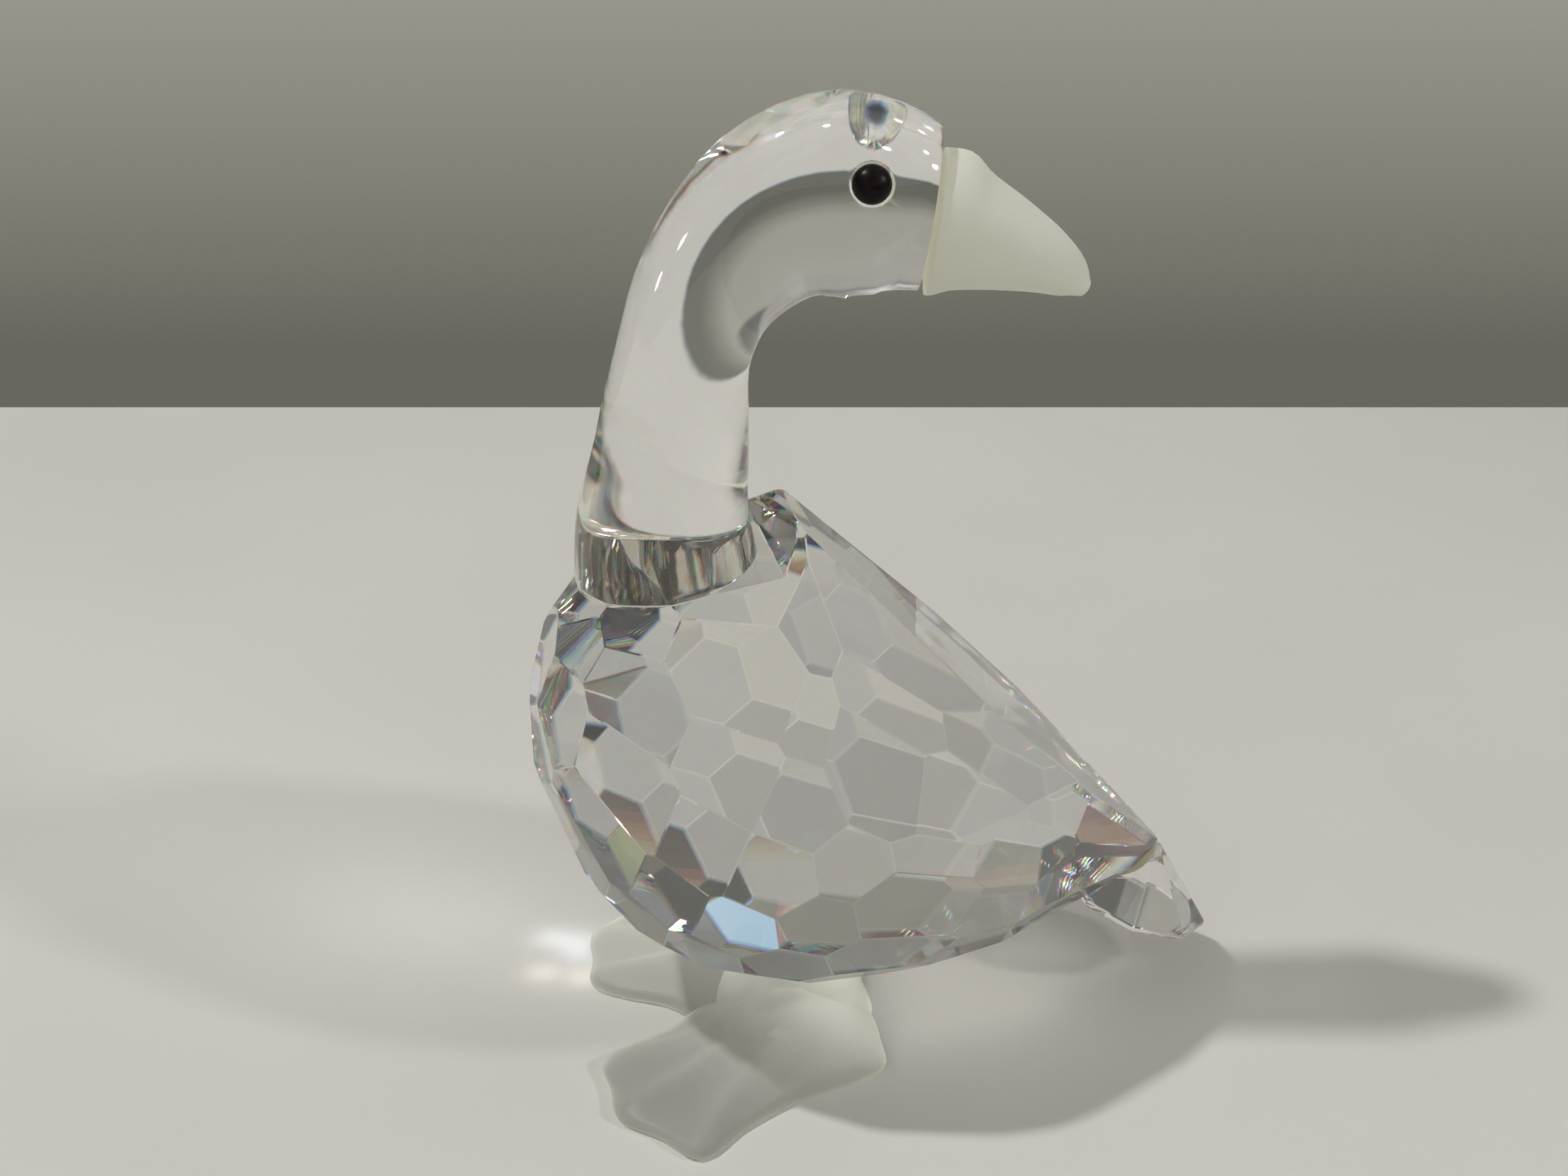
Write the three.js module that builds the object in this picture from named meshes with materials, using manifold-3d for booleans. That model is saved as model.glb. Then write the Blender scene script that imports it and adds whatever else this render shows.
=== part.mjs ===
// A cut-crystal goose standing on frosted webbed feet, its head turned back over its shoulder.
// Millimetres, +Z up. The goose faces -X, its left side is -Y, and its feet stand on z = 0.
import * as THREE from "three";
import { mergeVertices } from "three/addons/utils/BufferGeometryUtils.js";
import Module from "manifold-3d";

const wasm = await Module();
wasm.setup();

// ---- Driving dimensions -------------------------------------------------------------------

const BODY_CENTRE = new THREE.Vector3(0, 0, 17.6);

// The smooth form that the facets touch: the hull of these balls, placed from BODY_CENTRE.
const BODY_FORM = [
  { at: [0.8, 0, -0.4], radius: 12.7 },
  { at: [-3.2, 0, 1.6], radius: 9.6 },
  { at: [-4.2, 0, 4.0], radius: 8.2 },
  { at: [0.4, 0, 5.0], radius: 8.4 },
  { at: [5, 0, -2.8], radius: 11.0 },
  { at: [9, 0, -4.5], radius: 9.0 },
  { at: [13, 0, -6.2], radius: 6.3 },
  { at: [21.4, 0, -9], radius: 1.0 },
];

// Facets are cut in rings round the body's long axis, from the breast at latitude 90 to the tail.
const CUT_AXIS_LEAN = -67;
const TIERS = [
  { latitude: 84, count: 1, first: 0 },
  { latitude: 64, count: 8, first: 22.5 },
  { latitude: 46, count: 14, first: 0 },
  { latitude: 29, count: 16, first: 11.25 },
  { latitude: 12, count: 18, first: 0 },
  { latitude: -5, count: 18, first: 10 },
  { latitude: -19, count: 18, first: 0 },
  { latitude: -28, count: 16, first: 11.25 },
  { latitude: -37, count: 12, first: 0 },
];

// The folded wings are longer facets that cut off the back, each at "reach" from BODY_CENTRE.
// No facet of the rings comes within BACK_SPREAD of the direction the back faces, BACK_SLOPE.
const BACK_SLOPE = 46.5;
const BACK_SPREAD = 50;
const WING_FACETS = [
  { pitch: 46, roll: 0, reach: 10.15 },
  { pitch: 47.5, roll: 0, reach: 10.45 },
  { pitch: 39, roll: 27, reach: 11.21 },
  { pitch: 48, roll: 27, reach: 12.25 },
  { pitch: 40, roll: 45, reach: 11.75 },
  { pitch: 50, roll: 40, reach: 11.95 },
  { pitch: 42, roll: 59, reach: 12.02 },
  { pitch: 55, roll: 55, reach: 12.2 },
  { pitch: 57, roll: 44, reach: 13.0 },
];

// Cemented joints: two flat faces JOINT_GAP apart with a film of adhesive between them.
const JOINT_GAP = 0.4;
const BOND_THICKNESS = 0.3;
const NECK_SEAT = { at: [-5.95, 0, 10.8], lean: 10, backWall: { at: [-0.55, 0, 11.5], lean: 40 } };
const BELLY_SEAT_DROP = 12.9;
const TAIL_SEAT = { slope: 27, distance: 18.3, bondX: 20.9 };
const NECK_BOND_RADIUS = 4.5;
const FEET_BOND_RADIUS = 2.6;
const TAIL_BOND_RADIUS = 1.3;
const BEAK_BOND_INSET = 0.25;

// The neck and head lie in one upright plane, turned HEAD_TURN from the body's own.
// Each section stands across the line through "at" ([along, height] from the neck's foot):
// "deep" is its half size in the plane, "wide" its half size across it.
const HEAD_TURN = -12;
const HEAD_SECTIONS = [
  { at: [0.65, -1.6], deep: 5.0, wide: 5.2 },
  { at: [0.4, 0.4], deep: 4.8, wide: 4.95 },
  { at: [0.3, 2.4], deep: 4.55, wide: 4.7 },
  { at: [0.45, 4.0], deep: 4.3, wide: 4.4 },
  { at: [0.8, 6.4], deep: 4.0, wide: 4.1 },
  { at: [1.1, 9.2], deep: 3.7, wide: 3.9 },
  { at: [1.6, 12.2], deep: 3.4, wide: 3.7 },
  { at: [2.6, 15.0], deep: 3.6, wide: 3.6 },
  { at: [4.3, 17.4], deep: 4.1, wide: 3.65 },
  { at: [6.5, 19.2], deep: 4.75, wide: 3.8 },
  { at: [9.3, 20.0], deep: 5.2, wide: 3.9 },
  { at: [12.0, 19.6], deep: 4.75, wide: 3.75 },
  { at: [14.0, 18.9], deep: 3.85, wide: 3.3 },
  { at: [16.4, 18.1], deep: 3.0, wide: 2.9 },
];
const BEAK_SECTIONS = [
  { at: [11.5, 19.3], deep: 3.5, wide: 3.3 },
  { at: [13.3, 18.9], deep: 3.55, wide: 3.3 },
  { at: [14.6, 18.55], deep: 3.75, wide: 3.15 },
  { at: [15.8, 18.15], deep: 3.05, wide: 3.0 },
  { at: [17.6, 17.5], deep: 2.4, wide: 2.6 },
  { at: [19.4, 16.7], deep: 1.75, wide: 2.15 },
  { at: [20.75, 15.85], deep: 1.15, wide: 1.6 },
  { at: [21.5, 15.2], deep: 0.45, wide: 0.75 },
];
const SEAM = { at: [13.8, 18.75], lean: 8 };

const EYE = { at: [10.75, 21.6], out: 3.45, tilt: 18, radius: 0.98, dome: 0.7, clearance: 0.15 };

// The feet are one moulding, set on a line of their own. The left foot is a blob flattened onto
// the ground inside this outline, and the right foot is its mirror image.
const FEET_PLACE = { at: [0, -0.7, 0], turn: -4 };
const FOOT_CENTRE = [-3.0, -5.6];
const FOOT_OUTLINE = [
  [-4.1, 0.3],
  [-6.0, -1.4],
  [-8.7, -2.8],
  [-10.0, -4.0],
  [-9.75, -6.4],
  [-9.6, -9.0],
  [-7.6, -10.9],
  [-5.7, -13.0],
  [-3.2, -10.8],
  [-0.3, -8.8],
  [2.9, -7.6],
  [5.3, -6.3],
  [5.5, -4.4],
  [5.4, -2.0],
  [4.6, 0.4],
];
const TOE_TIPS = [[-9.6, -4.2], [-9.1, -8.8], [-5.7, -12.4]];
const WEB_THICKNESS = 1.25;
const EDGE_HEIGHT = 0.35;
// How sharply the blob's edge rounds over on top, and tucks in to the flat sole below.
const CROWN_POWER = 0.7;
const UNDERCUT = 4;
const TOE_RIDGE = { height: 0.5, halfWidth: 0.75 };
const ANKLE = { at: [0.8, -3.6], height: 2.8, spread: 4.4 };
const ANKLE_TOP = 4.2;
const ANKLE_PAD = { at: [1.0, 0], top: 3.1, bottom: 4.6 };

// The tail is a pointed crystal hung by one of its facets, its flat table facing down.
const TAIL_CRYSTAL = {
  apexX: 22.7,
  lean: 17.6,
  facets: 8,
  girdle: 4.1,
  girdleHeight: 0.3,
  table: 2.7,
  crown: 0.75,
};

// Fineness of the round meshes, and the size of the blocks that cut flats.
const ROUND_SIDES = 36;
const HEAD_STEPS = 40;
const BEAK_STEPS = 24;
const EYE_SIDES = 24;
const FOOT_SIDES = 64;
const FOOT_RINGS = 18;
const WELD_DISTANCE = 1e-4;
const BLOCK = 120;

// ---- Helpers ------------------------------------------------------------------------------

const radians = THREE.MathUtils.degToRad;
const Y_AXIS = new THREE.Vector3(0, 1, 0);
const Z_AXIS = new THREE.Vector3(0, 0, 1);

function toSolid(geometry) {
  const bare = geometry.clone();
  bare.deleteAttribute("normal");
  bare.deleteAttribute("uv");
  const merged = mergeVertices(bare, WELD_DISTANCE);
  return new wasm.Manifold(
    new wasm.Mesh({
      numProp: 3,
      vertProperties: new Float32Array(merged.attributes.position.array),
      triVerts: new Uint32Array(merged.index.array),
    }),
  );
}

function toGeometry(solid) {
  const mesh = solid.getMesh();
  const geometry = new THREE.BufferGeometry();
  geometry.setAttribute("position", new THREE.BufferAttribute(mesh.vertProperties, 3));
  geometry.setIndex(new THREE.BufferAttribute(mesh.triVerts, 1));
  return geometry;
}

// A block that fills everything beyond the plane with this outward normal and distance.
function beyondPlane(normal, distance) {
  const block = new THREE.BoxGeometry(BLOCK, BLOCK, BLOCK);
  block.translate(0, 0, BLOCK / 2 + distance);
  block.applyQuaternion(new THREE.Quaternion().setFromUnitVectors(Z_AXIS, normal));
  return toSolid(block);
}

// A round disc with this normal, its middle at "centre".
function disc(radius, thickness, centre, normal) {
  const geometry = new THREE.CylinderGeometry(radius, radius, thickness, ROUND_SIDES);
  geometry.applyQuaternion(new THREE.Quaternion().setFromUnitVectors(Y_AXIS, normal));
  geometry.translate(centre.x, centre.y, centre.z);
  return geometry;
}

// ---- Body ---------------------------------------------------------------------------------

// The upright direction, tipped towards +X by this many degrees.
function tipped(degrees) {
  return Z_AXIS.clone().applyAxisAngle(Y_AXIS, radians(degrees));
}

function tierNormal(latitude, longitude) {
  const around = new THREE.Vector3(
    -Math.cos(radians(longitude)) * Math.cos(radians(latitude)),
    -Math.sin(radians(longitude)) * Math.cos(radians(latitude)),
    Math.sin(radians(latitude)),
  );
  return around.applyAxisAngle(Y_AXIS, radians(CUT_AXIS_LEAN));
}

// How far the smooth form reaches along a direction.
function reach(normal) {
  return Math.max(...BODY_FORM.map(({ at, radius }) => normal.dot(new THREE.Vector3(...at)) + radius));
}

const backNormal = tipped(BACK_SLOPE);

function wingNormal(pitch, roll) {
  return new THREE.Vector3(
    Math.sin(radians(pitch)) * Math.cos(radians(roll)),
    Math.sin(radians(roll)),
    Math.cos(radians(pitch)) * Math.cos(radians(roll)),
  );
}

// Outward normals of the three flats that the other pieces are cemented to.
const neckSeatNormal = tipped(-NECK_SEAT.lean);
const bellySeatNormal = new THREE.Vector3(0, 0, -1);
const tailSeatNormal = tipped(180 - TAIL_SEAT.slope);
const neckSeatDistance = neckSeatNormal.dot(new THREE.Vector3(...NECK_SEAT.at));

function bodySolid() {
  let solid = toSolid(new THREE.BoxGeometry(BLOCK / 2, BLOCK / 2, BLOCK / 2));
  for (const { latitude, count, first } of TIERS) {
    for (let i = 0; i < count; i++) {
      const normal = tierNormal(latitude, first + (360 / count) * i);
      if (normal.angleTo(backNormal) < radians(BACK_SPREAD)) continue;
      solid = solid.subtract(beyondPlane(normal, reach(normal)));
    }
  }
  for (const { pitch, roll, reach: distance } of WING_FACETS) {
    const sides = roll === 0 ? [1] : [1, -1];
    for (const side of sides) {
      solid = solid.subtract(beyondPlane(wingNormal(pitch, side * roll), distance));
    }
  }
  solid = solid.subtract(beyondPlane(bellySeatNormal, BELLY_SEAT_DROP));
  solid = solid.subtract(beyondPlane(tailSeatNormal, TAIL_SEAT.distance));
  const { at, lean } = NECK_SEAT.backWall;
  const forward = tipped(lean - 90);
  const inFront = beyondPlane(forward, forward.dot(new THREE.Vector3(...at)));
  return solid.subtract(beyondPlane(neckSeatNormal, neckSeatDistance).intersect(inFront));
}

// ---- Neck, head and beak ------------------------------------------------------------------

// A loft through sections: x runs along the head plane, y up, and z across it.
function loft(sections, steps) {
  const line = new THREE.CatmullRomCurve3(sections.map(({ at }) => new THREE.Vector3(at[0], at[1], 0)));
  const size = new THREE.CatmullRomCurve3(sections.map(({ deep, wide }) => new THREE.Vector3(deep, wide, 0)));
  const geometry = new THREE.CylinderGeometry(1, 1, 1, ROUND_SIDES, steps);
  const point = new THREE.Vector3();
  const position = geometry.attributes.position;
  for (let i = 0; i < position.count; i++) {
    point.fromBufferAttribute(position, i);
    const t = THREE.MathUtils.clamp(0.5 + point.y, 0, 1);
    const middle = line.getPoint(t);
    const along = line.getTangent(t);
    const { x: deep, y: wide } = size.getPoint(t);
    position.setXYZ(
      i,
      middle.x + along.y * deep * point.x,
      middle.y - along.x * deep * point.x,
      wide * point.z,
    );
  }
  return geometry;
}

// Turns head-plane coordinates (along, up, across) into the body's frame, from BODY_CENTRE.
const headFrame = new THREE.Matrix4()
  .makeTranslation(...NECK_SEAT.at)
  .multiply(new THREE.Matrix4().makeRotationZ(radians(HEAD_TURN)))
  .multiply(new THREE.Matrix4().makeRotationX(Math.PI / 2));

// The seam between head and beak, as a plane in head coordinates.
const seamNormal = new THREE.Vector3(Math.cos(radians(SEAM.lean)), -Math.sin(radians(SEAM.lean)), 0);
const seamMiddle = new THREE.Vector3(...SEAM.at, 0);
const seamDistance = seamNormal.dot(seamMiddle) - JOINT_GAP / 2;

function eyeBall(side, growth) {
  const geometry = new THREE.SphereGeometry(1, EYE_SIDES, EYE_SIDES / 2);
  geometry.scale(EYE.radius + growth, EYE.radius + growth, EYE.dome + growth);
  geometry.rotateX(side * radians(-EYE.tilt));
  geometry.translate(EYE.at[0], EYE.at[1], side * EYE.out);
  return geometry;
}

function headSolid() {
  let solid = toSolid(loft(HEAD_SECTIONS, HEAD_STEPS));
  solid = solid.subtract(beyondPlane(seamNormal, seamDistance));
  for (const side of [1, -1]) {
    solid = solid.subtract(toSolid(eyeBall(side, EYE.clearance)));
  }
  const placed = toSolid(toGeometry(solid).applyMatrix4(headFrame));
  const belowNeck = neckSeatNormal.clone().negate();
  return placed.subtract(beyondPlane(belowNeck, -neckSeatDistance - JOINT_GAP));
}

function beakSolid() {
  const solid = toSolid(loft(BEAK_SECTIONS, BEAK_STEPS));
  const behind = seamNormal.clone().negate();
  return solid.subtract(beyondPlane(behind, -seamDistance - JOINT_GAP));
}

function beakBondGeometry() {
  const { deep, wide } = BEAK_SECTIONS[1];
  const geometry = disc(1, BOND_THICKNESS, new THREE.Vector3(), Y_AXIS);
  geometry.scale(deep - BEAK_BOND_INSET, 1, wide - BEAK_BOND_INSET);
  geometry.rotateZ(radians(-90 - SEAM.lean));
  return geometry.translate(seamMiddle.x, seamMiddle.y, 0);
}

// ---- Feet ---------------------------------------------------------------------------------

function distanceToSegment(point, from, to) {
  const line = new THREE.Line3(new THREE.Vector3(...from, 0), new THREE.Vector3(...to, 0));
  return line.closestPointToPoint(point, true, new THREE.Vector3()).distanceTo(point);
}

// Height of the foot's top over the ground: a web, raised along the toes and up to the ankle.
function footTop(x, y) {
  const point = new THREE.Vector3(x, y, 0);
  const fromAnkle = point.distanceTo(new THREE.Vector3(...ANKLE.at, 0)) / ANKLE.spread;
  const toToe = Math.min(...TOE_TIPS.map((tip) => distanceToSegment(point, ANKLE.at, tip)));
  const ridge = TOE_RIDGE.height * Math.exp(-((toToe / TOE_RIDGE.halfWidth) ** 2));
  const height = WEB_THICKNESS + ridge + ANKLE.height * Math.exp(-(fromAnkle ** 2));
  return Math.min(height, ANKLE_TOP);
}

function leftFoot() {
  const outline = new THREE.CatmullRomCurve3(FOOT_OUTLINE.map(([x, y]) => new THREE.Vector3(x, y, 0)), true);
  const centre = new THREE.Vector3(...FOOT_CENTRE, 0);
  const geometry = new THREE.SphereGeometry(1, FOOT_SIDES, FOOT_RINGS);
  const position = geometry.attributes.position;
  const ball = new THREE.Vector3();
  for (let i = 0; i < position.count; i++) {
    ball.fromBufferAttribute(position, i);
    const turn = (i % (FOOT_SIDES + 1)) / FOOT_SIDES;
    const out = Math.hypot(ball.x, ball.z);
    const plan = centre.clone().lerp(outline.getPoint(turn % 1), out);
    const rise = Math.max(ball.y, 0) ** CROWN_POWER;
    const edge = EDGE_HEIGHT * Math.max(0, 1 + UNDERCUT * Math.min(ball.y, 0));
    position.setXYZ(i, plan.x, plan.y, edge + (footTop(plan.x, plan.y) - EDGE_HEIGHT) * rise);
  }
  return geometry;
}

function mirrored(geometry) {
  const copy = geometry.clone().scale(1, -1, 1);
  copy.index.array.reverse();
  return copy;
}

function feetSolid() {
  const left = leftFoot();
  const top = BODY_CENTRE.z - BELLY_SEAT_DROP - JOINT_GAP;
  const pad = new THREE.CylinderGeometry(ANKLE_PAD.top, ANKLE_PAD.bottom, top - EDGE_HEIGHT, ROUND_SIDES);
  pad.rotateX(Math.PI / 2);
  pad.translate(...ANKLE_PAD.at, EDGE_HEIGHT + (top - EDGE_HEIGHT) / 2);
  return toSolid(left).add(toSolid(mirrored(left))).add(toSolid(pad));
}

// ---- Tail crystal -------------------------------------------------------------------------

// The point of the tail seat's plane, moved out by "gap", that lies under this x.
function onTailSeat(x, gap) {
  const z = (TAIL_SEAT.distance + gap - tailSeatNormal.x * x) / tailSeatNormal.z;
  return new THREE.Vector3(x, 0, z);
}

function tailGeometry() {
  const { apexX, lean, facets, girdle, girdleHeight, table, crown } = TAIL_CRYSTAL;
  const facetSlope = radians(lean + TAIL_SEAT.slope);
  const pointed = girdle * Math.cos(Math.PI / facets) * Math.tan(facetSlope);
  const profile = [
    new THREE.Vector2(0, -pointed - girdleHeight - crown),
    new THREE.Vector2(table, -pointed - girdleHeight - crown),
    new THREE.Vector2(girdle, -pointed - girdleHeight),
    new THREE.Vector2(girdle, -pointed),
    new THREE.Vector2(0, 0),
  ];
  const geometry = new THREE.LatheGeometry(profile, facets);
  geometry.rotateX(Math.PI / 2);
  geometry.rotateZ(Math.PI / facets);
  geometry.rotateY(radians(lean));
  const apex = onTailSeat(apexX, JOINT_GAP);
  return toGeometry(toSolid(geometry.translate(apex.x, apex.y, apex.z)));
}

// ---- Assembly -----------------------------------------------------------------------------

const goose = new THREE.Group();
const aboutBody = new THREE.Group();
aboutBody.position.copy(BODY_CENTRE);
const aboutHead = new THREE.Group();
aboutHead.applyMatrix4(headFrame);
aboutBody.add(aboutHead);
const underBody = new THREE.Group();
underBody.position.set(...FEET_PLACE.at);
underBody.rotation.z = radians(FEET_PLACE.turn);
goose.add(aboutBody, underBody);

const LOOKS = {
  crystal: { color: 0xe8eef0, roughness: 0.03, metalness: 0 },
  frosted: { color: 0xbdbdb4, roughness: 0.6, metalness: 0 },
  jet: { color: 0x0b0908, roughness: 0.12, metalness: 0 },
  adhesive: { color: 0xe6e0c8, roughness: 0.2, metalness: 0 },
};

function add(parent, name, geometry, look) {
  const mesh = new THREE.Mesh(geometry, new THREE.MeshStandardMaterial(LOOKS[look]));
  mesh.name = name;
  parent.add(mesh);
}

function bond(parent, name, radius, middle, normal) {
  add(parent, name, disc(radius, BOND_THICKNESS, middle, normal), "adhesive");
}

add(aboutBody, "body", toGeometry(bodySolid()), "crystal");
add(aboutBody, "neck_head", toGeometry(headSolid()), "crystal");
add(aboutHead, "beak", toGeometry(beakSolid()), "frosted");
add(aboutHead, "eye_right", eyeBall(1, 0), "jet");
add(aboutHead, "eye_left", eyeBall(-1, 0), "jet");
add(underBody, "feet", toGeometry(feetSolid()), "frosted");
add(aboutBody, "tail", tailGeometry(), "crystal");

add(aboutHead, "beak_bond", beakBondGeometry(), "adhesive");
const neckSeat = new THREE.Vector3(...NECK_SEAT.at).addScaledVector(neckSeatNormal, JOINT_GAP / 2);
const ankleTop = new THREE.Vector3(...ANKLE_PAD.at, BODY_CENTRE.z - BELLY_SEAT_DROP - JOINT_GAP / 2);
const tailSeat = onTailSeat(TAIL_SEAT.bondX, JOINT_GAP / 2);
bond(aboutBody, "neck_bond", NECK_BOND_RADIUS, neckSeat, neckSeatNormal);
bond(underBody, "feet_bond", FEET_BOND_RADIUS, ankleTop, Z_AXIS);
bond(aboutBody, "tail_bond", TAIL_BOND_RADIUS, tailSeat, tailSeatNormal);

// The origin is the middle of the underside of the whole goose's box.
const box = new THREE.Box3().setFromObject(goose, true);
const middle = box.getCenter(new THREE.Vector3());
goose.position.set(-middle.x, -middle.y, -box.min.z);

const group = new THREE.Group();
group.add(goose);

export default group;
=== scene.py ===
"""A cut-crystal goose figurine on a pale table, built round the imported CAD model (metres, +Z up)."""
import math

import bmesh
import bpy
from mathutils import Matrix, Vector, noise


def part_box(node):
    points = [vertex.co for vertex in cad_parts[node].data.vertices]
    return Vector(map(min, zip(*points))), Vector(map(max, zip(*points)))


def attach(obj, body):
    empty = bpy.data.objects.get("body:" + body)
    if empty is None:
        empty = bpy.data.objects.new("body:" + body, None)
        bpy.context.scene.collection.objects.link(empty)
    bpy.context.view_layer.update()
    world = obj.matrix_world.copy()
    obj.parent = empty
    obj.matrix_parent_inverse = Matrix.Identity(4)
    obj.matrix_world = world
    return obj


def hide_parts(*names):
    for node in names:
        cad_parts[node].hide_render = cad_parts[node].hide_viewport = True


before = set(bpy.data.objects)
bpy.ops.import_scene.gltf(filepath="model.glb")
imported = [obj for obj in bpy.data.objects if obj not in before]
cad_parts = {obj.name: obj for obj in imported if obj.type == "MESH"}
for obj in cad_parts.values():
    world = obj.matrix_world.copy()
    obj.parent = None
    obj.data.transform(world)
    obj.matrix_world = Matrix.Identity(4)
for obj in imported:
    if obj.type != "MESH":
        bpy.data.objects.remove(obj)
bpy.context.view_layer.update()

MM = 0.001

# Directions are in degrees, as seen from the goose: azimuth 0 points along -Y and 90 along +X, and
# elevation is measured up from the level. The lens and the sensor's width are in millimetres.
CAMERA_AZIMUTH = -12
CAMERA_ELEVATION = 25.5
CAMERA_DISTANCE = 150 * MM
CAMERA_LENS = 63.5
CAMERA_SENSOR = 36
CAMERA_NEAR = 5 * MM
CAMERA_FAR = 20
AIM_FROM_BODY = Vector((-3.3, 3.3, 6.9)) * MM

# The crystal is three glasses mixed, one for each of red, green and blue, with indices this far
# apart. Each is tinted towards its own colour, and together the three tints make white.
GLASS_IOR = 1.55
DISPERSION = 0.02
PRIMARY_TINT = 1.7
OTHER_TINT = (3 - PRIMARY_TINT) / 2

# The share of the lamps' light that passes straight through the crystal, face on and edge on.
LIGHT_PASSED = (0.3, 0.0)

# Side facets are painted in shades, from the darkest at 0 to clear at 1: painted reflection and shade
# that stand in for the uneven room that real crystal bends into view. The shade is drawn from the way
# that a facet faces, and facets that lean up or down are given more painted shade.
FACET_PAINTED_SHADES = (
    (0.0, (0.64, 0.64, 0.62)),
    (0.3, (0.83, 0.84, 0.86)),
    (0.6, (0.935, 0.935, 0.915)),
    (1.0, (1.0, 1.0, 1.0)),
)
NO_PAINTED_SHADE = 1
PAINTED_SHADE_CELLS = 9
PAINTED_LIGHTNESS_LEAST = 0.35
LEAST_FACET_AREA = 0.7 * MM * MM
SIDE_FACET_NORMAL = 0.3
UPWARD_SHADE = 0.35
DOWNWARD_SHADE = 1.0

# Frosted glass is part rough glass, part cloudy white. The share of white grows between these
# heights, partly as the thin webs of the feet thicken upwards and partly as painted light, standing in
# for the light that the crystal focuses on the upper feet. The rims of a piece add to it.
FROST_HEIGHTS = (1.2 * MM, 3.6 * MM)
FROST_WHITES = (0.48, 0.82)
FROST_RIM_WHITE = 0.25
FROST_IOR = 1.45

# Most of a noise pattern lies between these two levels.
NOISE_SPAN = (0.3, 0.7)

# Colours along a noise pattern.
JET_TONES = ((0.3, (0.004, 0.003, 0.003)), (0.7, (0.013, 0.007, 0.006)))
TABLE_TONES = ((0.25, (0.55, 0.535, 0.50)), (0.75, (0.60, 0.585, 0.55)))

# Polished edges are narrow chamfers.
FACET_BEVEL = 0.055 * MM

# Cemented faces nearly touch, and the face marked off on the body keeps clear of its seat's edge.
CEMENT_GAP = 0.02 * MM
CEMENT_MARGIN = 0.06 * MM

# The bead of glue at the tail is this many times the size of its film, and is rounded in steps.
BEAD_SPREAD = 1.35
BEAD_ROUNDING = 2

# Edges sharper than these, in degrees, stay crisp.
HEAD_CREASE = 35
FEET_CREASE = 50
EYE_CREASE = 60

# Corners this close are one corner, and an edge that bends less than this lies inside a facet.
SAME_CORNER = 0.0001 * MM
SAME_FACET_DEGREES = 0.2

# Places in the list of materials of the body and the neck.
CEMENTED_FACE = 1
ETCHED_FACE = 2

# The table and the wall are boxes, from one corner to the opposite one, in metres from the point
# under the body's middle, and turned to face the camera.
TABLE_BOX = ((-0.6, -0.7, -0.03), (0.6, 0.091, 0))
WALL_BOX = ((-1.5, 0.75, -0.8), (1.5, 0.77, 1.2))

# Greys up the wall, as heights in metres and sRGB levels: first those of its light strip, then
# those to either side, with a darker band above the part that the camera sees.
WALL_LEVELS = (
    (-0.24, (103, 103, 95)),
    (-0.11, (156, 154, 142)),
    (0.45, (160, 158, 151)),
)
WALL_SIDE_LEVELS = (
    (-0.24, (103, 103, 95)),
    (-0.11, (156, 154, 142)),
    (-0.04, (100, 100, 95)),
    (0.18, (104, 104, 99)),
    (0.26, (156, 154, 147)),
    (0.45, (160, 158, 151)),
)
WALL_LIGHT_MIDDLE = -0.18
WALL_LIGHT_HALF = 0.26
WALL_LIGHT_FADE = 0.05

# The room's light from eye level, at 0, to overhead, at 1. Its patches shift these places.
ROOM_LEVELS = ((0.0, 0.08), (0.35, 0.11), (0.75, 0.25), (1.0, 0.72))
ROOM_WARMTH = (1, 0.98, 0.94)
ROOM_PATCH_SWING = 1.6

WHITE = (1, 1, 1)

# Glints are small lamps, all at one distance from the body's middle. The sparkles are the
# brightest of them, and each one's azimuth and elevation are listed.
GLINT_DISTANCE = 0.68
SPARKLE_SIZE = 0.045
SPARKLE_RADIANCE = 30
SPARKLE_COLOUR = (1.0, 0.98, 0.94)
SPARKLE_DIRECTIONS = (
    (7, 56), (22, 50), (-47, 76), (107, 60), (100, 50), (60, 45), (46, 20), (-97, 8), (-88, 16)
)

# Patches of focused light on the table: x and y from the body's middle and width, all in
# millimetres, then power in watts and colour.
PATCH_LAMP_HEIGHT = 1.0
TABLE_PATCHES = (
    (-14.0, 8.4, 3.0, 0.000024, (0.75, 0.88, 1.0)),
    (-12.4, 7.0, 1.8, 0.00001, (1.0, 1.0, 1.0)),
    (-15.9, 9.8, 2.0, 0.00001, (0.8, 0.9, 1.0)),
    (-14.6, 5.2, 1.9, 0.00001, (1.0, 0.94, 0.86)),
    (-12.4, 4.4, 1.6, 0.000009, (1.0, 0.96, 0.9)),
    (-17.0, 6.2, 1.8, 0.000008, (1.0, 0.88, 0.8)),
)


# ---- Shader helpers: owner is a material or the world --------------------------------------

def srgb(*levels):
    """Linear colour from sRGB levels of 0 to 255."""
    return [((v / 255 + 0.055) / 1.055) ** 2.4 if v > 10 else v / 255 / 12.92 for v in levels]


def new_material(name):
    material = bpy.data.materials.new(name)
    material.use_nodes = True
    material.node_tree.nodes.clear()
    return material


def add_node(owner, kind, values=None, **properties):
    """A node whose sockets are set to plain values, or linked where the value is an output."""
    node = owner.node_tree.nodes.new(kind)
    for key, value in properties.items():
        setattr(node, key, value)
    for key, value in (values or {}).items():
        if isinstance(value, bpy.types.NodeSocket):
            owner.node_tree.links.new(value, node.inputs[key])
        else:
            node.inputs[key].default_value = value
    return node


def set_surface(material, shader):
    add_node(material, "ShaderNodeOutputMaterial", {"Surface": shader})


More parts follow.
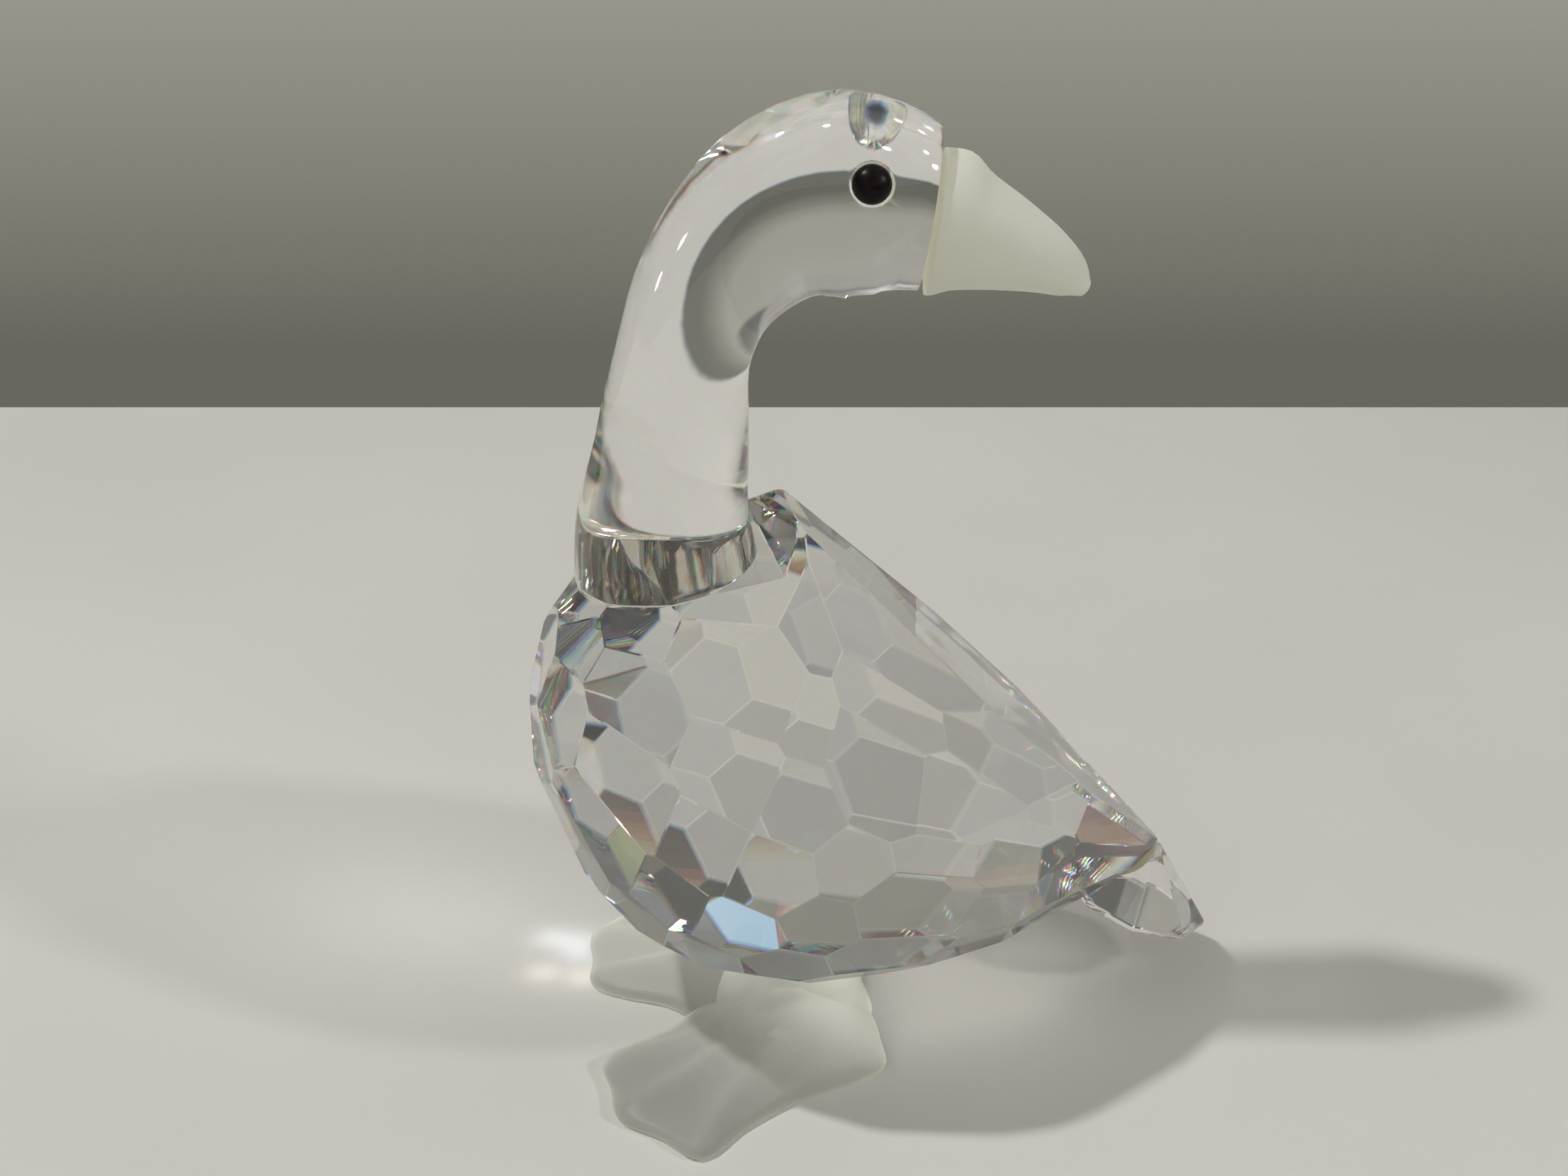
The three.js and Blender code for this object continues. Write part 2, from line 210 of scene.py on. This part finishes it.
def colour_steps(owner, value, steps, interpolation="LINEAR"):
    """A colour that runs through these (position, colour) steps as value goes from 0 to 1."""
    ramp = add_node(owner, "ShaderNodeValToRGB", {0: value})
    ramp.color_ramp.interpolation = interpolation
    elements = ramp.color_ramp.elements
    for _ in range(len(steps) - 2):
        elements.new(0.5)
    for element, (position, colour) in zip(elements, steps):
        element.position = position
        element.color = (*colour, 1)
    return ramp.outputs[0]


def remap(owner, value, old, new):
    """The value moved from the old span to the new one, and held inside it."""
    values = {0: value, 1: old[0], 2: old[1], 3: new[0], 4: new[1]}
    return add_node(owner, "ShaderNodeMapRange", values).outputs[0]


def pattern(owner, scale, detail, space="Object"):
    """A soft noise from 0 to 1 that is fixed to its owner."""
    place = add_node(owner, "ShaderNodeTexCoord")
    values = {"Vector": place.outputs[space], "Scale": scale, "Detail": detail}
    return add_node(owner, "ShaderNodeTexNoise", values).outputs["Fac"]


def axes(owner, space="Object"):
    """Where a point lies along X, Y and Z, as the outputs of one node."""
    place = add_node(owner, "ShaderNodeTexCoord")
    return add_node(owner, "ShaderNodeSeparateXYZ", {0: place.outputs[space]}).outputs


def bumps(owner, height, strength, depth):
    """A surface roughened by the height, as a normal."""
    values = {"Height": height, "Strength": strength, "Distance": depth}
    return add_node(owner, "ShaderNodeBump", values).outputs[0]


def blend(owner, share, first, second):
    """Two shaders mixed, with this share of the second."""
    return add_node(owner, "ShaderNodeMixShader", {0: share, 1: first, 2: second}).outputs[0]


# ---- Materials -----------------------------------------------------------------------------

def crystal_material():
    """Clear lead crystal, polished to a very slight ripple, with painted shade facet by facet."""
    material = new_material("crystal")
    # The facets' painted shade, which darkens the glass colour facet by facet.
    tone = add_node(material, "ShaderNodeAttribute", attribute_name="tone")
    facet_shade_colour = colour_steps(material, tone.outputs["Fac"], FACET_PAINTED_SHADES)
    ripple = bumps(material, pattern(material, 260, 2), 0.04, 0.1 * MM)
    glasses = []
    for channel, offset in enumerate((-DISPERSION, 0, DISPERSION)):
        primary = [OTHER_TINT] * 3
        primary[channel] = PRIMARY_TINT
        values = {0: facet_shade_colour, 1: primary}
        colour = add_node(material, "ShaderNodeVectorMath", values, operation="MULTIPLY")
        values = {
            "Color": colour.outputs[0],
            "Roughness": 0,
            "IOR": GLASS_IOR + offset,
            "Normal": ripple,
        }
        glasses.append(add_node(material, "ShaderNodeBsdfGlass", values).outputs[0])
    red, green, blue = glasses
    red_and_green = blend(material, 1 / 2, red, green)
    all_three = blend(material, 1 / 3, red_and_green, blue)
    set_surface(material, lamp_light_passes(material, all_three))
    return material


def lamp_light_passes(material, shader):
    """Lets part of the lamps' light straight through, less of it where it grazes the glass."""
    path = add_node(material, "ShaderNodeLightPath")
    edge = add_node(material, "ShaderNodeLayerWeight", {"Blend": 0.35})
    passed = remap(material, edge.outputs["Facing"], (0, 1), LIGHT_PASSED)
    clear = add_node(material, "ShaderNodeBsdfTransparent", {"Color": passed})
    return blend(material, path.outputs["Is Shadow Ray"], shader, clear.outputs[0])


def frosted_material():
    """Etched glass: it blurs what lies behind it, and whitens higher up and at its rims."""
    material = new_material("frosted_crystal")
    grain = bumps(material, pattern(material, 3500, 3), 0.25, 0.03 * MM)
    roughness = remap(material, pattern(material, 300, 2), NOISE_SPAN, (0.42, 0.56))
    values = {
        "Color": (1, 1, 0.98, 1),
        "Roughness": roughness,
        "IOR": FROST_IOR,
        "Normal": grain,
    }
    rough = add_node(material, "ShaderNodeBsdfGlass", values).outputs[0]
    values = {"Color": (0.86, 0.86, 0.79, 1), "Normal": grain}
    haze = add_node(material, "ShaderNodeBsdfDiffuse", values).outputs[0]
    values = {"Color": (0.95, 0.95, 0.88, 1), "Normal": grain}
    glow_through = add_node(material, "ShaderNodeBsdfTranslucent", values).outputs[0]
    white = blend(material, 1 / 2, haze, glow_through)

    # Whiter upwards: partly thicker glass, partly painted light for the light the crystal focuses on
    # the feet.
    thickness_and_painted_light = remap(material, axes(material)["Z"], FROST_HEIGHTS, FROST_WHITES)
    rim = add_node(material, "ShaderNodeLayerWeight", {"Blend": 0.2})
    share = add_node(
        material,
        "ShaderNodeMath",
        {0: rim.outputs["Facing"], 1: FROST_RIM_WHITE, 2: thickness_and_painted_light},
        operation="MULTIPLY_ADD",
        use_clamp=True,
    )
    set_surface(material, blend(material, share.outputs[0], rough, white))
    return material


def jet_material():
    """Black glass with a breath of brown in it, worn a little unevenly."""
    material = new_material("jet")
    wear = pattern(material, 1500, 3)
    values = {
        "Base Color": colour_steps(material, wear, JET_TONES),
        "Roughness": remap(material, wear, NOISE_SPAN, (0.25, 0.38)),
        "Specular IOR Level": 0.12,
        "Normal": bumps(material, wear, 0.1, 0.02 * MM),
    }
    set_surface(material, add_node(material, "ShaderNodeBsdfPrincipled", values).outputs[0])
    return material


def glue_material():
    """Cream-coloured glue, cloudy and a little lumpy."""
    material = new_material("glue")
    lumps = pattern(material, 1200, 2)
    values = {
        "Base Color": (0.86, 0.82, 0.62, 1),
        "Roughness": remap(material, lumps, NOISE_SPAN, (0.25, 0.5)),
        "Transmission Weight": 0.6,
        "IOR": 1.45,
        "Normal": bumps(material, lumps, 0.5, 0.1 * MM),
    }
    set_surface(material, add_node(material, "ShaderNodeBsdfPrincipled", values).outputs[0])
    return material


def cemented_material():
    """The cemented faces, which light crosses without bending."""
    material = new_material("cemented")
    values = {"Color": (0.99, 0.985, 0.96, 1)}
    set_surface(material, add_node(material, "ShaderNodeBsdfTransparent", values).outputs[0])
    return material


def table_material():
    """White laminate: faintly mottled, with a fine orange-peel surface."""
    material = new_material("table_white")
    mottle = pattern(material, 18, 4)
    values = {
        "Base Color": colour_steps(material, mottle, TABLE_TONES),
        "Roughness": remap(material, mottle, NOISE_SPAN, (0.45, 0.55)),
        "Normal": bumps(material, pattern(material, 900, 2), 0.06, 0.05 * MM),
    }
    set_surface(material, add_node(material, "ShaderNodeBsdfPrincipled", values).outputs[0])
    return material


def wall_material():
    """A wall that glows softly, lighter upwards, with a darker band to either side."""
    material = new_material("wall_grey")
    place = axes(material)
    low, high = WALL_LEVELS[0][0], WALL_LEVELS[-1][0]
    height = remap(material, place["Z"], (low, high), (0, 1))
    columns = []
    for levels in (WALL_LEVELS, WALL_SIDE_LEVELS):
        steps = [((z - low) / (high - low), srgb(*grey)) for z, grey in levels]
        columns.append(colour_steps(material, height, steps))
    values = {0: place["X"], 1: WALL_LIGHT_MIDDLE}
    across = add_node(material, "ShaderNodeMath", values, operation="SUBTRACT").outputs[0]
    away = add_node(material, "ShaderNodeMath", {0: across}, operation="ABSOLUTE").outputs[0]
    fade = (WALL_LIGHT_HALF, WALL_LIGHT_HALF + WALL_LIGHT_FADE)
    side = remap(material, away, fade, (0, 1))
    # Sockets 6 and 7 of a colour mix are its two colours, and output 2 is the mix.
    values = {"Factor": side, 6: columns[0], 7: columns[1]}
    colour = add_node(material, "ShaderNodeMix", values, data_type="RGBA").outputs[2]
    glow = add_node(material, "ShaderNodeEmission", {"Color": colour, "Strength": 1.0})
    set_surface(material, glow.outputs[0])
    return material


def room():
    """Light from all round: dim at eye level, brighter overhead, and uneven as in a real room."""
    world = bpy.data.worlds.new("room")
    world.use_nodes = True
    up = axes(world, "Generated")["Z"]
    patches = pattern(world, 3, 1, "Generated")
    values = {0: patches, 1: ROOM_PATCH_SWING, 2: -ROOM_PATCH_SWING / 2}
    swing = add_node(world, "ShaderNodeMath", values, operation="MULTIPLY_ADD").outputs[0]
    position = add_node(world, "ShaderNodeMath", {0: up, 1: swing}, operation="ADD").outputs[0]
    steps = [(place, [level * share for share in ROOM_WARMTH]) for place, level in ROOM_LEVELS]
    colour = colour_steps(world, position, steps, "EASE")
    background = world.node_tree.nodes["Background"]
    world.node_tree.links.new(colour, background.inputs["Color"])
    return world


# ---- Mesh helpers --------------------------------------------------------------------------

def mesh_object(name, work):
    """Turns a bmesh into an object, and frees it."""
    mesh = bpy.data.meshes.new(name)
    work.to_mesh(mesh)
    work.free()
    obj = bpy.data.objects.new(name, mesh)
    bpy.context.scene.collection.objects.link(obj)
    return obj


def clean_mesh(node):
    """A copy of a CAD node's mesh with shared corners, its flat facets as single faces."""
    work = bmesh.new()
    work.from_mesh(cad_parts[node].data)
    bmesh.ops.remove_doubles(work, verts=work.verts, dist=SAME_CORNER)
    bmesh.ops.dissolve_limit(
        work,
        angle_limit=math.radians(SAME_FACET_DEGREES),
        verts=work.verts,
        edges=work.edges,
    )
    return work


def round_off(work, crease):
    """Smooth shading that keeps every edge sharper than the crease, in degrees."""
    for face in work.faces:
        face.smooth = True
    for edge in work.edges:
        edge.smooth = edge.calc_face_angle(0) < math.radians(crease)


def chamfer(work, width):
    """Narrow flats along all the edges of a faceted piece."""
    bmesh.ops.bevel(
        work,
        geom=list(work.edges),
        offset=width,
        segments=1,
        affect="EDGES",
        clamp_overlap=True,
    )
    for face in work.faces:
        face.smooth = False


def paint_facet_shades(work):
    """Paints a shade on each side facet by the way it faces, darker the more it leans, the rest clear.
    The painted shade stands in for the room seen through the crystal.
    """
    tone = work.faces.layers.float.new("tone")
    for face in work.faces:
        # Painted reflection and shade: a random lightness per facet, darkened further on facets that
        # lean up or down.
        roll = (noise.cell(face.normal * PAINTED_SHADE_CELLS) + 1) / 2
        lightness = PAINTED_LIGHTNESS_LEAST + (1 - PAINTED_LIGHTNESS_LEAST) * roll
        up = max(face.normal.z, 0)
        down = max(-face.normal.z, 0)
        shade = UPWARD_SHADE * up + DOWNWARD_SHADE * down
        is_large = face.calc_area() > LEAST_FACET_AREA
        is_side = abs(face.normal.y) > SIDE_FACET_NORMAL
        face[tone] = lightness * (1 - shade) if is_large and is_side else NO_PAINTED_SHADE


def clear_of_painted_shade(work):
    """Marks a piece as clear all over, with no painted shade."""
    tone = work.faces.layers.float.new("tone")
    for face in work.faces:
        face[tone] = NO_PAINTED_SHADE


def largest_flat(work, normal):
    """The largest face that looks this way, within a degree."""
    limit = math.cos(math.radians(1))
    flats = [face for face in work.faces if face.normal.dot(normal) > limit]
    return max(flats, key=lambda face: face.calc_area())


def clipped(outline, flat, margin):
    """The part of a flat convex outline that lies inside a face, less a margin."""
    corners = [vert.co for vert in flat.verts]
    for start, end in zip(corners, corners[1:] + corners[:1]):
        inward = flat.normal.cross(end - start).normalized()
        heights = [(point - start).dot(inward) - margin for point in outline]
        kept = []
        for i, point in enumerate(outline):
            before, height = heights[i - 1], heights[i]
            if (before < 0) != (height < 0):
                kept.append(outline[i - 1].lerp(point, before / (before - height)))
            if height >= 0:
                kept.append(point)
        outline = kept
    return outline


def cement(work, outline, normal):
    """Marks off the part of a flat that another piece is cemented to, as its own face."""
    flat = largest_flat(work, normal)
    point = flat.verts[0].co.copy()
    on_flat = [p - flat.normal * (p - point).dot(flat.normal) for p in outline]
    corners = clipped(on_flat, flat, CEMENT_MARGIN)
    verts = [work.verts.new(p) for p in corners]
    inner = [work.edges.new((a, b)) for a, b in zip(verts, verts[1:] + verts[:1])]
    outer = list(flat.edges)
    bmesh.ops.delete(work, geom=[flat], context="FACES_ONLY")
    bmesh.ops.triangle_fill(work, use_beauty=True, edges=outer + inner, normal=normal)
    patch = work.faces.new(verts)
    patch.normal_update()
    if patch.normal.dot(normal) < 0:
        patch.normal_flip()
    patch.material_index = CEMENTED_FACE
    bmesh.ops.recalc_face_normals(work, faces=work.faces)


def seat_neck(neck, body):
    """Brings the neck down onto its seat on the body, and marks the two cemented faces."""
    foot = max(neck.faces, key=lambda face: face.calc_area() * -face.normal.z)
    foot.material_index = CEMENTED_FACE
    up = -foot.normal
    seat = largest_flat(body, up)
    drop = (foot.verts[0].co - seat.verts[0].co).dot(up) - CEMENT_GAP
    for vert in foot.verts:
        vert.co -= up * drop
    cement(body, [vert.co.copy() for vert in foot.verts], up)


def etch_head_end(neck, beak):
    """Frosts the flat end of the head, which the back of the beak is cemented to."""
    beak_back = max(beak.faces, key=lambda face: face.calc_area())
    largest_flat(neck, -beak_back.normal).material_index = ETCHED_FACE


def stand_in(work, node, slot, *materials):
    """Shows this mesh in the place of a CAD node."""
    piece = mesh_object(node + "_polished", work)
    for material in materials:
        piece.data.materials.append(material)
    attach(piece, "root")
    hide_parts(node)
    return piece


# ---- The goose -----------------------------------------------------------------------------

crystal = crystal_material()
frosted = frosted_material()
jet = jet_material()
cemented = cemented_material()
glue = glue_material()

body = clean_mesh("body")
chamfer(body, FACET_BEVEL)
neck = clean_mesh("neck_head")
seat_neck(neck, body)
paint_facet_shades(body)
stand_in(body, "body", "crystal", crystal, cemented)

beak = clean_mesh("beak")
etch_head_end(neck, beak)
clear_of_painted_shade(neck)
round_off(neck, HEAD_CREASE)
stand_in(neck, "neck_head", "crystal", crystal, cemented, frosted)
round_off(beak, HEAD_CREASE)
stand_in(beak, "beak", "frosted_crystal", frosted)

feet = clean_mesh("feet")
round_off(feet, FEET_CREASE)
stand_in(feet, "feet", "frosted_crystal", frosted)

tail = clean_mesh("tail")
chamfer(tail, FACET_BEVEL)
clear_of_painted_shade(tail)
stand_in(tail, "tail", "crystal", crystal)

for eye_node in ("eye_left", "eye_right"):
    eye = clean_mesh(eye_node)
    round_off(eye, EYE_CREASE)
    stand_in(eye, eye_node, "jet", jet)

# The glue at the tail has squeezed out into a small bead. The other films are thin and clear.
bead = clean_mesh("tail_bond")
bead_middle = sum((vert.co for vert in bead.verts), Vector()) / len(bead.verts)
for vert in bead.verts:
    vert.co = bead_middle + (vert.co - bead_middle) * BEAD_SPREAD
for face in bead.faces:
    face.smooth = True
bead_piece = stand_in(bead, "tail_bond", "adhesive", glue)
rounding = bead_piece.modifiers.new("rounding", "SUBSURF")
rounding.levels = BEAD_ROUNDING
rounding.render_levels = BEAD_ROUNDING
for bond_node in ("neck_bond", "beak_bond", "feet_bond"):
    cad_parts[bond_node].material_slots[0].material = cemented


# ---- Table and wall ------------------------------------------------------------------------

body_low, body_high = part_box("body")
body_middle = (body_low + body_high) / 2


def direction(azimuth, elevation):
    """A unit vector from the goose, as the angles at the top say."""
    level = math.cos(math.radians(elevation))
    return Vector((
        math.sin(math.radians(azimuth)) * level,
        -math.cos(math.radians(azimuth)) * level,
        math.sin(math.radians(elevation)),
    ))


def slab(name, box, material):
    """A box of scenery, turned to face the camera."""
    low, high = box
    work = bmesh.new()
    bmesh.ops.create_cube(work, size=1)
    for vert in work.verts:
        vert.co = Vector([b if side > 0 else a for side, a, b in zip(vert.co, low, high)])
    obj = mesh_object(name, work)
    obj.data.materials.append(material)
    obj.rotation_euler = (0, 0, math.radians(CAMERA_AZIMUTH))
    obj.location = (body_middle.x, body_middle.y, 0)


slab("table", TABLE_BOX, table_material())
slab("wall", WALL_BOX, wall_material())


# ---- Light ---------------------------------------------------------------------------------

def add_lamp(name, kind, size, power, colour):
    data = bpy.data.lights.new(name, kind)
    data.energy = power
    data.color = colour
    if kind == "AREA":
        data.shape = "DISK"
        data.size = size
    else:
        data.shadow_soft_size = size
    lamp = bpy.data.objects.new(name, data)
    bpy.context.scene.collection.objects.link(lamp)
    return lamp


def far_lamp(name, azimuth, elevation, distance, size, power, colour=WHITE):
    """A round lamp that faces the middle of the body from this direction."""
    lamp = add_lamp(name, "AREA", size, power, colour)
    outwards = direction(azimuth, elevation)
    lamp.location = body_middle + outwards * distance
    lamp.rotation_euler = outwards.to_track_quat("Z", "Y").to_euler()
    return lamp


def glint(name, azimuth, elevation, size, radiance, colour):
    """A small lamp, hidden from the camera, that the glass mirrors or bends into view."""
    power = math.pi * (math.pi * size * size / 4) * radiance
    lamp = far_lamp(name, azimuth, elevation, GLINT_DISTANCE, size, power, colour)
    lamp.visible_camera = False
    return lamp


def only_on(lamp, receiver):
    """The lamp lights this object alone, and only the wall may shade it."""
    lit = bpy.data.collections.new(lamp.name + "_lit")
    lit.objects.link(bpy.data.objects[receiver])
    lamp.light_linking.receiver_collection = lit
    shading = bpy.data.collections.new(lamp.name + "_shading")
    shading.objects.link(bpy.data.objects["wall"])
    lamp.light_linking.blocker_collection = shading


def focused_lamp(name, kind, place, size, power, colour, receiver):
    """An unseen lamp for light that the crystal focuses on one object.

    Its place is in millimetres, across from the body's middle and up from the table.
    """
    lamp = add_lamp(name, kind, size * MM, power, colour)
    x, y, z = place
    lamp.location = (body_middle.x + x * MM, body_middle.y + y * MM, z * MM)
    for ray in ("camera", "glossy", "transmission"):
        setattr(lamp, "visible_" + ray, False)
    only_on(lamp, receiver)


far_lamp("key", -96, 60, distance=0.8, size=0.045, power=3.4)
far_lamp("fill", 53, 33, distance=0.8, size=0.08, power=1.7)
front = far_lamp("front", -40, 28, distance=0.7, size=0.5, power=0.5)
front.visible_glossy = False
front.visible_transmission = False

glint("glint_breast", 158, 6, size=0.09, radiance=1.0, colour=(0.55, 0.8, 1.0))
glint("glint_flank", 136, -2, size=0.05, radiance=0.5, colour=(1.0, 0.74, 0.36))

# The crown of the head and the back of the neck mirror these as sparkles.
for index, (azimuth, elevation) in enumerate(SPARKLE_DIRECTIONS):
    sparkle = glint(
        f"sparkle_{index}", azimuth, elevation, SPARKLE_SIZE, SPARKLE_RADIANCE, SPARKLE_COLOUR
    )
    only_on(sparkle, "neck_head_polished")

focused_lamp(
    "focus_heel",
    "POINT",
    place=(4, -6, 9),
    size=2,
    power=0.0023,
    colour=(1.0, 1.0, 0.96),
    receiver="feet_polished",
)
focused_lamp(
    "focus_far_foot",
    "POINT",
    place=(-12, 9, 10),
    size=2,
    power=0.0018,
    colour=(1.0, 1.0, 0.98),
    receiver="feet_polished",
)
for index, (x, y, size, power, colour) in enumerate(TABLE_PATCHES):
    patch_place = (x, y, PATCH_LAMP_HEIGHT)
    focused_lamp(f"caustic_{index}", "AREA", patch_place, size, power, colour, "table")

bpy.context.scene.world = room()


# ---- Camera and render settings ------------------------------------------------------------

camera_data = bpy.data.cameras.new("camera")
camera_data.lens = CAMERA_LENS
camera_data.sensor_width = CAMERA_SENSOR
camera_data.clip_start = CAMERA_NEAR
camera_data.clip_end = CAMERA_FAR
camera = bpy.data.objects.new("camera", camera_data)
view_back = direction(CAMERA_AZIMUTH, CAMERA_ELEVATION)
camera.location = body_middle + AIM_FROM_BODY + view_back * CAMERA_DISTANCE
camera.rotation_euler = view_back.to_track_quat("Z", "Y").to_euler()
bpy.context.scene.collection.objects.link(camera)
bpy.context.scene.camera = camera

scene = bpy.context.scene
scene.view_settings.view_transform = "Standard"
scene.cycles.max_bounces = 32
scene.cycles.transmission_bounces = 32
scene.cycles.glossy_bounces = 16
scene.cycles.transparent_max_bounces = 32
scene.cycles.sample_clamp_indirect = 10
